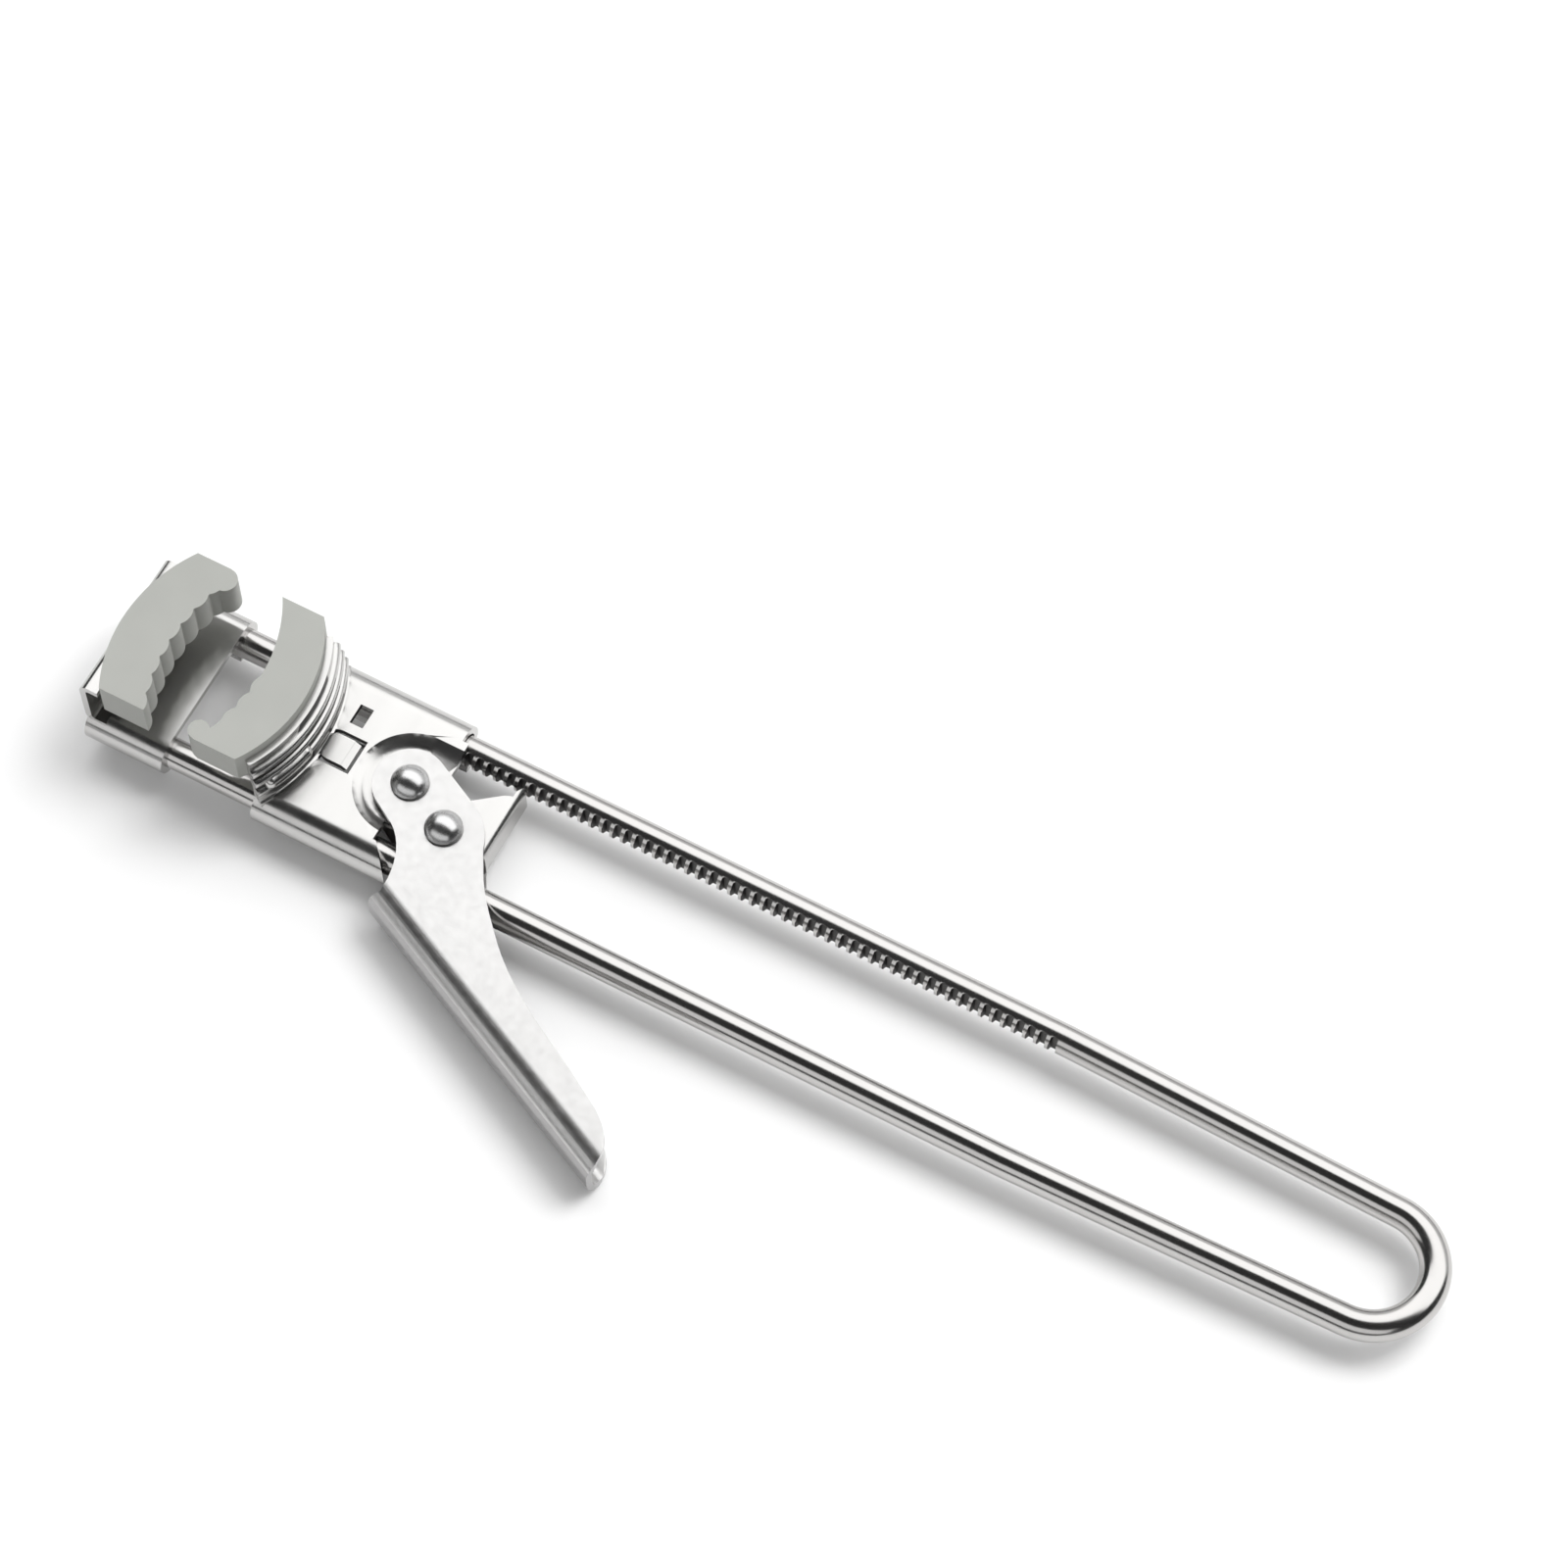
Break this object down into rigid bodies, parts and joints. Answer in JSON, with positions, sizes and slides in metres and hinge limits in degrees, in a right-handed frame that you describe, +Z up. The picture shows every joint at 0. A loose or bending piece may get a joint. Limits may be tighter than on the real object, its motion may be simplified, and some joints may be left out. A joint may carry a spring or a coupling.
{
  "type": "adjustable lid opener",
  "caption": "Flat hand tool with a wire loop handle, a fixed jaw on its head and a sliding jaw moved along a rack by a squeeze lever, for turning lids.",
  "frame": {"origin": "bottom centre of the bounding box, level with the flat tails of the two rivets that the tool rests on", "axes": "+X along the legs towards the loop end, +Y towards the toothed leg, +Z up through the open top of the jaws"},
  "size_m": [0.241, 0.062, 0.0233],
  "materials": {
    "rod_steel": "polished",
    "sheet_steel": "bright rolled",
    "lever_steel": "satin",
    "rivet_steel": "polished",
    "hidden_steel": "plain",
    "spring_steel": "drawn wire",
    "pad_plastic": "smooth matt"
  },
  "bodies": {
    "frame": {"rod_frame": "rod_steel", "head_plate": "sheet_steel", "fixed_jaw_pad": "pad_plastic"},
    "carriage": {"carriage_plate": "sheet_steel", "moving_jaw_pad": "pad_plastic", "pivot_rivet": "rivet_steel", "pivot_washer": "hidden_steel", "pivot_bush": "hidden_steel", "return_spring": "spring_steel"},
    "lever": {"lever": "lever_steel", "pawl_rivet": "rivet_steel", "pawl_bush": "hidden_steel"},
    "pawl": {"pawl": "sheet_steel"}
  },
  "joints": [
    {"name": "carriage_slide", "type": "slide", "parent": "frame", "child": "carriage", "axis": [1, 0, 0], "range_m": [-0.0073, 0.095]},
    {"name": "lever_squeeze", "type": "hinge", "parent": "carriage", "child": "lever", "pos_m": [-0.0666, 0.0152, 0.0068], "axis": [0, 0, 1], "range_deg": [0, 22], "stiffness_Nm_per_rad": 0.12, "springref_deg": -20.05, "deforming": ["return_spring"]},
    {"name": "pawl_swing", "type": "hinge", "parent": "lever", "child": "pawl", "pos_m": [-0.0576, 0.0106, 0.0068], "axis": [0, 0, 1], "range_deg": [-46.2, 0]}
  ],
  "couplings": [
    {"joint": "pawl_swing", "follows": "lever_squeeze", "ratio": -2.1}
  ]
}
